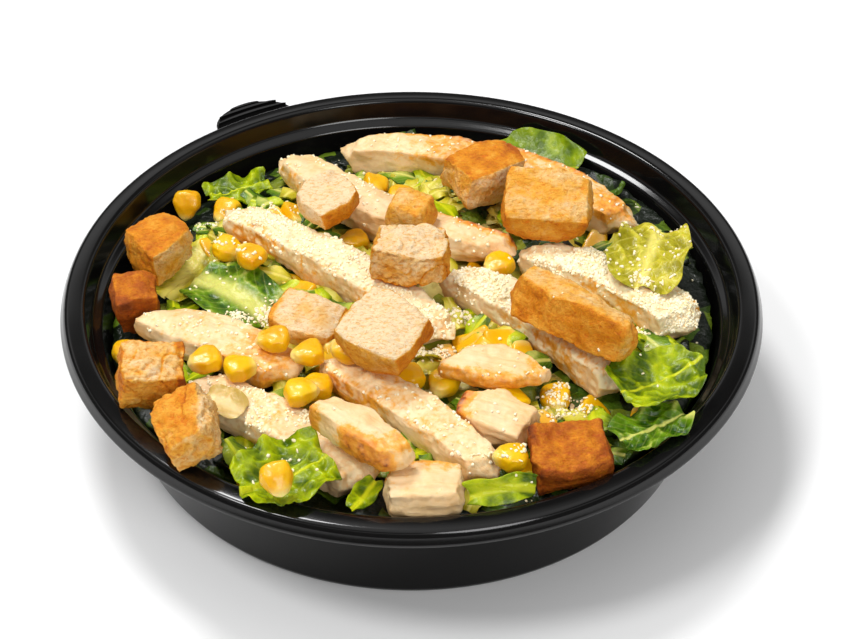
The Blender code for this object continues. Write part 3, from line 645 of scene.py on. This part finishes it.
def chicken_finish():
    """Pale fibrous meat that light enters a little, and its golden and brown sear."""
    material, tree, shader, add = new_finish("cooked_chicken")
    place = add("TexCoord").outputs["Object"]
    grain = add("Attribute", attribute_name="own_place").outputs["Vector"]
    sear = add("Attribute", attribute_name="sear").outputs["Fac"]
    crumbs = add("Attribute", attribute_name="crumbs").outputs["Fac"]
    stretched = add("Mapping", {"Vector": grain, "Scale": (160, 900, 700)}).outputs["Vector"]
    fibres = add("TexNoise", {"Vector": stretched, "Scale": 1.0, "Detail": 4, "Roughness": 0.55,
                              "Distortion": 0.6}).outputs["Fac"]
    clouds = add("TexNoise", {"Vector": place, "Scale": 120, "Detail": 4}).outputs["Fac"]
    tone = add("Math", {0: fibres, 1: 0.45, 2: clouds}, operation="MULTIPLY_ADD").outputs[0]
    meat = add("ValToRGB", {"Fac": tone})
    ramp = meat.color_ramp
    ramp.elements[0].position = 0.42
    ramp.elements[0].color = (0.73, 0.36, 0.10, 1)
    ramp.elements[1].position = 0.98
    ramp.elements[1].color = (0.90, 0.67, 0.39, 1)
    ramp.elements.new(0.62).color = (0.85, 0.55, 0.25, 1)

    blotch = add("TexNoise", {"Vector": place, "Scale": 420, "Detail": 5,
                              "Roughness": 0.65}).outputs["Fac"]
    spread = add("MapRange", {"Value": blotch, "From Min": 0.3, "From Max": 0.7, "To Min": -0.30,
                              "To Max": 0.30}).outputs[0]
    heat = add("Math", {0: sear, 1: spread}, operation="ADD").outputs[0]
    browned = add("ValToRGB", {"Fac": heat})
    ramp = browned.color_ramp
    ramp.elements[0].position = 0.15
    ramp.elements[0].color = (0.88, 0.55, 0.20, 1)
    ramp.elements[1].position = 1.1
    ramp.elements[1].color = (0.26, 0.050, 0.006, 1)
    for position, colour in ((0.45, (0.86, 0.38, 0.035, 1)), (0.8, (0.66, 0.20, 0.012, 1))):
        ramp.elements.new(position).color = colour
    amount = add("MapRange", {"Value": heat, "From Min": 0.12, "From Max": 0.42},
                 interpolation_type="SMOOTHSTEP").outputs[0]
    colour = add("Mix", {0: amount, 6: meat.outputs["Color"], 7: browned.outputs["Color"]},
                 data_type="RGBA")
    colour = add("Mix", {0: crumbs, 6: colour.outputs[2], 7: (0.94, 0.80, 0.50, 1)}, data_type="RGBA")
    tree.links.new(colour.outputs[2], shader.inputs["Base Color"])
    gloss = add("MapRange", {"Value": clouds, "To Min": 0.36, "To Max": 0.6}).outputs[0]
    tree.links.new(gloss, shader.inputs["Roughness"])
    shader.inputs["Subsurface Weight"].default_value = 0.2
    shader.inputs["Subsurface Radius"].default_value = (1.0, 0.75, 0.45)
    shader.inputs["Subsurface Scale"].default_value = 0.0014
    rough = add("Math", {0: blotch, 1: 0.35, 2: fibres}, operation="MULTIPLY_ADD").outputs[0]
    bump = add("Bump", {"Height": rough, "Strength": 0.45, "Distance": 0.0007})
    tree.links.new(bump.outputs["Normal"], shader.inputs["Normal"])
    return material


def shares_of(piece):
    """Each vertex's place along, across and up its piece, from -1 to 1, with its place in metres."""
    place = own_place(piece)
    return place, place / np.abs(place).max(0)


meat = chicken_finish()
for node, stretches in SEAR.items():
    strip = copy_of(node, node.replace("chicken", "sliced_chicken"))
    finish_with(strip, "REMESH", mode="VOXEL", voxel_size=0.0005)
    finish_with(strip, "SMOOTH", factor=0.5, iterations=3)
    relief(strip, 0.005, 0.0014)
    place, shares = shares_of(strip)
    spots = corners(strip)
    fibre = 1 - 2.2 * np.abs(cloud_at(place * (0.12, 1.0, 1.0), 0.0030, len(node) + place.max() * 1000))
    lumps = cloud_at(spots, 0.0013)
    normals = normals_of(strip)
    upward = normals[:, 2] - 0.42 * np.minimum(normals[:, 1], 0)
    top = between(upward, 0.25, 0.6) * SUNK_CHEESE.get(node, 0.1)
    grains = between(cloud_at(spots, 0.0011, 5.0) + 0.5 * cloud_at(spots, 0.009, 9.0), 0.18 - 0.55 * top,
                     0.45 - 0.5 * top) * top
    swell(strip, (FIBRES.get(node, 0.12) * 0.7 * (fibre - 0.5) + 0.16 * lumps + 0.12 * grains) * MM)
    keep(strip, "crumbs", grains * 0.9)
    edges = np.linspace(place[:, 0].min() - 1e-6, place[:, 0].max() + 1e-6, 10)
    centres, middles, halves = [], [], []
    for low, high in zip(edges, edges[1:]):
        inside = (place[:, 0] >= low) & (place[:, 0] < high)
        centres.append((low + high) / 2)
        middles.append((place[inside, 1].max() + place[inside, 1].min()) / 2)
        halves.append((place[inside, 1].max() - place[inside, 1].min()) / 2)
    middle = np.interp(place[:, 0], centres, middles)
    side_share = (place[:, 1] - middle) / np.interp(place[:, 0], centres, halves)
    sear = np.zeros(len(place))
    for start, end, side, strength in stretches:
        window = between(shares[:, 0], start - 0.25, start + 0.2)
        window = window * (1 - between(shares[:, 0], end - 0.2, end + 0.25))
        if side:
            edge = between(side * side_share, 0.1, 1.0)
        else:
            edge = between(shares[:, 2], -0.1, 0.6) * 0.8
        sear = np.maximum(sear, window * edge * strength)
    keep(strip, "own_place", place)
    keep(strip, "sear", sear)
    strip.data.materials.append(meat)
    choose(strip)
    bpy.ops.object.shade_smooth()
    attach(strip, "root")
    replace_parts(strip, node)


# Croutons
# Cubes and slices of white bread, toasted in oil: an open, dry crumb on the cut faces, golden
# to orange-brown where the crust or the pan browned them. They lie on top, some by the wall.

# how open its crumb is, how much darker its edges are, and the tone of the face that looks each
# way, from 0 or just below for white crumb to 1 for dark crust
LEFT, RIGHT, FRONT, BACK, UP = (-1, 0, 0), (1, 0, 0), (0, -1, 0), (0, 1, 0), (0, 0, 1)
CROUTONS = {
    "crouton_01": (0.3, 0.10, {LEFT: 0.80, RIGHT: 0.72, FRONT: 0.80, BACK: 0.8, UP: 0.68}),
    "crouton_02": (0.5, 0.10, {(-0.74, -0.67, 0): 0.48, (0.67, -0.74, -0.1): 0.20, BACK: 0.6,
                               UP: 0.50}),
    "crouton_03": (0.9, 0.30, {LEFT: 0.5, (1, 0, -0.2): 0.66, (0, -0.35, 0.95): 0.17,
                               (0.2, -0.95, -0.3): 0.40, BACK: 0.7}),
    "crouton_04": (0.9, 0.05, {(-0.6, -0.1, 0.8): 0.40, (0.75, 0.1, 0.6): 0.17,
                               (-0.2, -1, -0.1): 0.24, (-0.8, 0, -0.6): 0.5}),
    "crouton_05": (0.6, 0.22, {LEFT: 0.76, RIGHT: 0.78, FRONT: 0.76, BACK: 0.90, (0, -0.3, 1): 0.64}),
    "crouton_06": (0.3, 0.16, {(0.9, -0.4, 0): 0.52, (-0.4, -0.9, 0): 0.24, LEFT: 0.35, BACK: 0.4,
                               UP: 0.06}),
    "crouton_07": (0.2, 0.08, {(0.67, -0.74, -0.1): 0.44, (-0.74, -0.67, -0.1): 0.08, BACK: 0.3,
                               UP: -0.08}),
    "crouton_08": (0.4, 0.10, {LEFT: 0.26, RIGHT: 0.36, FRONT: 0.24, BACK: 0.45, UP: 0.26}),
    "crouton_09": (0.9, 0.12, {LEFT: 0.34, RIGHT: 0.42, FRONT: 0.14, (0, -1, -1): 0.5, BACK: 0.3,
                               UP: -0.04}),
    "crouton_10": (0.2, 0.14, {(0.85, -0.5, 0): 0.48, (-0.5, -0.85, -0.2): 0.32, BACK: 0.3,
                               (0.05, -0.3, 1): -0.06}),
    "crouton_11": (0.5, 0.10, {(-0.87, -0.5, 0): 0.26, (0.5, -0.87, 0): 0.14, RIGHT: 0.6,
                               BACK: 0.6, UP: 0.50}),
    "crouton_12": (0.4, 0.14, {LEFT: 0.48, RIGHT: 0.34, (0, -1, -0.5): 0.38, BACK: 0.4,
                               (0, -0.4, 1): 0.22}),
    "crouton_13": (0.4, 0.14, {(-0.6, -0.8, 0.2): 0.44, RIGHT: 0.5, LEFT: 0.5, (0.15, 0.25, 1): 0.21}),
}


def bread_finish():
    """Toasted bread: cream crumb through gold to dark orange-brown crust, with painted shade darkening its
    pores and holes.
    """
    material, tree, shader, add = new_finish("toasted_bread")
    place = add("TexCoord").outputs["Object"]
    crust = add("Attribute", attribute_name="crust").outputs["Fac"]
    hole_shade = add("Attribute", attribute_name="hole_shade").outputs["Fac"]
    clouds = add("TexNoise", {"Vector": place, "Scale": 210, "Detail": 5,
                              "Roughness": 0.62}).outputs["Fac"]
    spread = add("MapRange", {"Value": clouds, "From Min": 0.3, "From Max": 0.7, "To Min": -0.16,
                              "To Max": 0.16}).outputs[0]
    heat = add("Math", {0: crust, 1: spread}, operation="ADD").outputs[0]
    toast = add("ValToRGB", {"Fac": heat})
    ramp = toast.color_ramp
    ramp.elements[0].position = 0.0
    ramp.elements[0].color = (0.90, 0.69, 0.42, 1)
    ramp.elements[1].position = 1.0
    ramp.elements[1].color = (0.13, 0.022, 0.002, 1)
    for position, colour in ((0.15, (0.88, 0.57, 0.22, 1)), (0.30, (0.86, 0.42, 0.045, 1)),
                             (0.48, (0.76, 0.27, 0.006, 1)), (0.72, (0.44, 0.10, 0.003, 1))):
        ramp.elements.new(position).color = colour
    ragged = add("Mapping", {"Vector": place, "Scale": (800, 1700, 1250)}).outputs["Vector"]
    pores = add("TexNoise", {"Vector": ragged, "Scale": 1.0, "Detail": 3, "Roughness": 0.7,
                             "Distortion": 0.8}).outputs["Fac"]
    # painted shade: the pits of the pores and the pushed-in holes are darkened and warmed in colour
    painted_pit_shade = add("MapRange", {"Value": pores, "From Min": 0.50, "From Max": 0.36, "To Max": 0.75},
               interpolation_type="SMOOTHSTEP").outputs["Result"]
    hollow = add("Math", {0: hole_shade, 1: 0.42, 2: painted_pit_shade}, operation="MULTIPLY_ADD").outputs[0]
    colour = add("Mix", {0: hollow, 6: toast.outputs["Color"], 7: (0.86, 0.56, 0.22, 1)},
                 data_type="RGBA", blend_type="MULTIPLY")
    tree.links.new(colour.outputs[2], shader.inputs["Base Color"])
    shader.inputs["Roughness"].default_value = 0.62
    shader.inputs["Specular IOR Level"].default_value = 0.3
    shader.inputs["Subsurface Weight"].default_value = 0.12
    shader.inputs["Subsurface Radius"].default_value = (1.0, 0.6, 0.3)
    shader.inputs["Subsurface Scale"].default_value = 0.001
    rough = add("Math", {0: pores, 1: 1.2, 2: clouds}, operation="MULTIPLY_ADD").outputs[0]
    bump = add("Bump", {"Height": rough, "Strength": 0.75, "Distance": 0.0007})
    tree.links.new(bump.outputs["Normal"], shader.inputs["Normal"])
    return material


EVEN_TONE, EVEN_WEIGHT = 0.3, 0.02
bread = bread_finish()
for node, (openness, edges, tones) in CROUTONS.items():
    toast = copy_of(node, node.replace("crouton", "toasted_crouton"))
    finish_with(toast, "REMESH", mode="VOXEL", voxel_size=0.0005)
    finish_with(toast, "SMOOTH", factor=0.5, iterations=5)
    place, shares = shares_of(toast)
    normals = normals_of(toast)
    crust = np.full(len(place), EVEN_TONE * EVEN_WEIGHT)
    weight = np.full(len(place), EVEN_WEIGHT)
    for direction, tone in tones.items():
        facing = np.clip(normals @ np.array(Vector(direction).normalized()), 0, 1) ** 9
        crust += facing * tone
        weight += facing
    crust = crust / weight
    spots = corners(toast)
    out = np.sort(np.abs(shares), axis=1)[:, 1] + 0.15 * cloud_at(spots, 0.004, 6.0)
    crust = crust + 1.6 * edges * between(out, 0.72, 0.90)
    streaked = spots * (1.0, 1.0, 1.9) if openness > 0.4 else spots
    holes = between(cloud_at(streaked, 0.0015), 0.10, 0.4)
    holes = holes + 0.8 * between(cloud_at(streaked, 0.0008, 4.0), 0.1, 0.4)
    holes = holes * openness * (1 - 0.7 * between(crust, 0.35, 0.6))
    crack = between(0.035 - np.abs(cloud_at(spots, 0.010, 8.0)), 0.0, 0.03) * (openness > 0.8)
    crack = crack * between(cloud_at(spots, 0.014, 2.0), 0.0, 0.15)
    crumbs = 0.5 * cloud_at(spots, 0.0024, 7.0) + 0.35 * cloud_at(spots, 0.0012, 2.0)
    crumbs = crumbs * (0.4 + 0.6 * openness)
    swell(toast, (0.8 * cloud_at(spots, 0.007) - 0.45 * holes - 0.5 * crack + crumbs) * MM)
    # painted shade: the crust tone is raised along the cracks to darken them, and the holes are kept for
    # the finish to paint shade into
    keep(toast, "crust", crust + 0.25 * crack)
    keep(toast, "hole_shade", np.clip(holes, 0, 1))
    toast.data.materials.append(bread)
    choose(toast)
    bpy.ops.object.shade_smooth()
    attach(toast, "root")
    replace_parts(toast, node)


# Grated cheese
# Hard cheese grated fine and dropped over the salad last: cream-white granules and short
# shreds, thick on three of the strips and thin elsewhere, each resting on what lies under it.

# grains on each piece, and in heaps of their own: place in the plan, spread and how many
CHEESE = {
    "chicken_04": 2300, "chicken_07": 2300, "chicken_05": 1600, "chicken_02": 520, "chicken_01": 190,
    "chicken_03": 110, "chicken_08": 90, "chicken_06": 150, "lettuce_02": 16, "lettuce_07": 60,
    "chicken_11": 14, "chicken_10": 6, "lettuce_10": 4, "corn_03": 14, "corn_04": 14, "crouton_13": 8,
}
CHEESE_HEAPS = [
    (-37, -9, 4, 130), (-45, -12, 3, 60), (60, -6, 3, 40), (58, -17, 4, 50), (30, 20, 5, 80),
    (4, -24, 6, 140), (38, -44, 7, 160), (50, -36, 5, 80), (-4, -36, 5, 70), (-40, 32, 5, 20),
    (-58, 30, 5, 24), (14, -12, 5, 90), (28, -72, 6, 30), (-30, -70, 5, 10), (-14, 36, 8, 30),
]


def cheese_finish():
    """Dry cream-white cheese."""
    material, tree, shader, add = new_finish("grated_cheese")
    place = add("TexCoord").outputs["Object"]
    tone = add("TexNoise", {"Vector": place, "Scale": 700, "Detail": 2})
    cream = add("ValToRGB", {"Fac": tone.outputs["Fac"]})
    cream.color_ramp.elements[0].position = 0.3
    cream.color_ramp.elements[0].color = (0.98, 0.84, 0.50, 1)
    cream.color_ramp.elements[1].position = 0.65
    cream.color_ramp.elements[1].color = (1.0, 0.93, 0.72, 1)
    tree.links.new(cream.outputs["Color"], shader.inputs["Base Color"])
    shader.inputs["Roughness"].default_value = 0.5
    shader.inputs["Specular IOR Level"].default_value = 0.3
    return material


GRATING_HALF_SIZES = [(0.50, 0.42, 0.34), (0.62, 0.42, 0.36), (0.95, 0.28, 0.24), (0.36, 0.33, 0.30)]
gratings = []
for length, width, height in GRATING_HALF_SIZES:
    bpy.ops.object.select_all(action="DESELECT")
    bpy.ops.mesh.primitive_ico_sphere_add(subdivisions=1, radius=1)
    grating = bpy.context.active_object
    for vert in grating.data.vertices:
        skew = 0.35 * noise.noise_vector(vert.co * 1.7 + Vector((length, width, 0)))
        spot = vert.co + skew
        vert.co = Vector((spot.x * length, spot.y * width, spot.z * height)) * MM
    gratings.append(grating)

cover = [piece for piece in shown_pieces() if piece is not bowl]
cover_nodes = [list(piece.get("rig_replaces", ["salad_bed"]))[0] for piece in cover]
cover_trees = [(node, surface_of(piece)) for node, piece in zip(cover_nodes, cover)]


def top_at(x, y):
    """What a crumb falling at a place in the plan lands on: spot, slope and node."""
    best = None
    for node, tree in cover_trees:
        hit, normal, _, _ = tree.ray_cast(Vector((x, y, 0.2)), Vector((0, 0, -1)))
        if hit is not None and (best is None or hit.z > best[0].z):
            best = (hit, normal, node)
    return best


def lie(spot, normal):
    """A grating's place on a slope, turned at random."""
    tilt = normal.to_track_quat("Z", "Y").to_matrix().to_4x4()
    spin = Euler((draw.gauss(0, 0.5), draw.gauss(0, 0.5), draw.uniform(0, math.tau))).to_matrix().to_4x4()
    size = draw.uniform(0.65, 1.25)
    return Matrix.Translation(spot + normal * 0.0001) @ tilt @ spin @ Matrix.Scale(size, 4)


draw = random.Random(23)
places = []
for node, count in CHEESE.items():
    low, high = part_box(node)
    for _ in range(count * 4):
        x, y = draw.uniform(low[0], high[0]), draw.uniform(low[1], high[1])
        clump = noise.noise(Vector((x, y, 0)) * 170) + 0.6 * noise.noise(Vector((x, y, 3)) * 450)
        if draw.random() > 0.5 + clump:
            continue
        landed = top_at(x, y)
        if landed and landed[2] == node and landed[1].z > 0.3:
            places.append((draw.choices(range(4), (6, 4, 0.6, 7))[0], lie(landed[0], landed[1]), ()))
            count -= 1
        if count == 0:
            break
on_strips = len(places)
for x, y, spread, count in CHEESE_HEAPS:
    for _ in range(count):
        landed = top_at((x + draw.gauss(0, spread / 2)) * MM, (y + draw.gauss(0, spread / 2)) * MM)
        if landed and landed[1].z > 0.2 and "crouton" not in landed[2]:
            places.append((draw.choices(range(4), (6, 4, 2, 6))[0], lie(landed[0], landed[1]), ()))
for _ in range(500):
    radius, turn = SALAD_RADIUS * math.sqrt(draw.random()), draw.uniform(0, math.tau)
    landed = top_at(radius * math.cos(turn), radius * math.sin(turn))
    loose = 1.0 if landed and landed[2] == "salad_bed" else 0.2
    if landed and landed[1].z > 0.2 and "crouton" not in landed[2] and draw.random() < loose:
        places.append((draw.randrange(4), lie(landed[0], landed[1]), ()))
dry_cheese = cheese_finish()
for name, part_of in (("cheese_on_strips", places[:on_strips]), ("cheese_between", places[on_strips:])):
    cheese = joined_copies(name, gratings, part_of, dry_cheese)
    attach(cheese, "root")
discard(gratings)


# The table, the light and the camera
# A plain near-white table under soft light from large panels overhead and behind, seen from
# the front at about forty degrees, as the photograph is.

bpy.ops.object.select_all(action="DESELECT")
bpy.ops.mesh.primitive_circle_add(vertices=96, radius=1.6, fill_type="NGON", location=(0, 0, 0))
table = bpy.context.active_object
table.name = "table"
white, tree, shader, add = new_finish("white_table")
shader.inputs["Base Color"].default_value = (0.93, 0.93, 0.93, 1)
shader.inputs["Roughness"].default_value = 0.6
table.data.materials.append(white)
table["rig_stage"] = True

sky = bpy.data.worlds.new("studio")
sky.use_nodes = True
nodes, links = sky.node_tree.nodes, sky.node_tree.links
direction = nodes.new("ShaderNodeTexCoord")
parts = nodes.new("ShaderNodeSeparateXYZ")
glow = nodes.new("ShaderNodeValToRGB")
ramp = glow.color_ramp
ramp.elements[0].position, ramp.elements[1].position = 0.47, 0.92
ramp.elements[0].color, ramp.elements[1].color = (0.10, 0.10, 0.10, 1), (0.78, 0.78, 0.78, 1)
for position, level in ((0.52, 0.80), (0.58, 0.75), (0.62, 0.24), (0.66, 0.04), (0.76, 0.04), (0.83, 0.60)):
    ramp.elements.new(position).color = (level, level, level, 1)
links.new(direction.outputs["Generated"], parts.inputs["Vector"])
links.new(parts.outputs["Z"], glow.inputs["Fac"])
links.new(glow.outputs["Color"], nodes["Background"].inputs["Color"])
bpy.context.scene.world = sky
bpy.context.scene.view_settings.view_transform = "Standard"

for name, place, size, power in (("panel_behind", (-0.28, 0.42, 1.06), 0.35, 7.4),
                                 ("panel_above", (-0.55, -0.25, 1.0), 0.30, 4.7),
                                 ("panel_front", (0.42, -1.0, 0.85), 0.60, 6.2)):
    light = bpy.data.lights.new(name, "AREA")
    light.shape = "DISK"
    light.size = size
    light.energy = power
    lamp = bpy.data.objects.new(name, light)
    lamp.location = place
    lamp.rotation_euler = (Vector((0, 0, 0.02)) - Vector(place)).to_track_quat("-Z", "Y").to_euler()
    bpy.context.scene.collection.objects.link(lamp)

CAMERA_RISE = math.radians(39.07)
CAMERA_DISTANCE = 0.55
RIM_MIDDLE = Vector((0, 0, 0.038))
FRAME_WIDTH = 853
FOCAL_LENGTH_PIXELS = 2084
SHIFT_PIXELS = (15, -37.5)
view = bpy.data.cameras.new("camera")
view.sensor_width = 36
view.lens = FOCAL_LENGTH_PIXELS / FRAME_WIDTH * view.sensor_width
view.shift_x = SHIFT_PIXELS[0] / FRAME_WIDTH
view.shift_y = SHIFT_PIXELS[1] / FRAME_WIDTH
view.clip_start = 0.01
camera = bpy.data.objects.new("camera", view)
camera.location = RIM_MIDDLE + CAMERA_DISTANCE * Vector((0, -math.cos(CAMERA_RISE), math.sin(CAMERA_RISE)))
camera.rotation_euler = (RIM_MIDDLE - camera.location).to_track_quat("-Z", "Y").to_euler()
bpy.context.scene.collection.objects.link(camera)
bpy.context.scene.camera = camera

low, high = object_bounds()
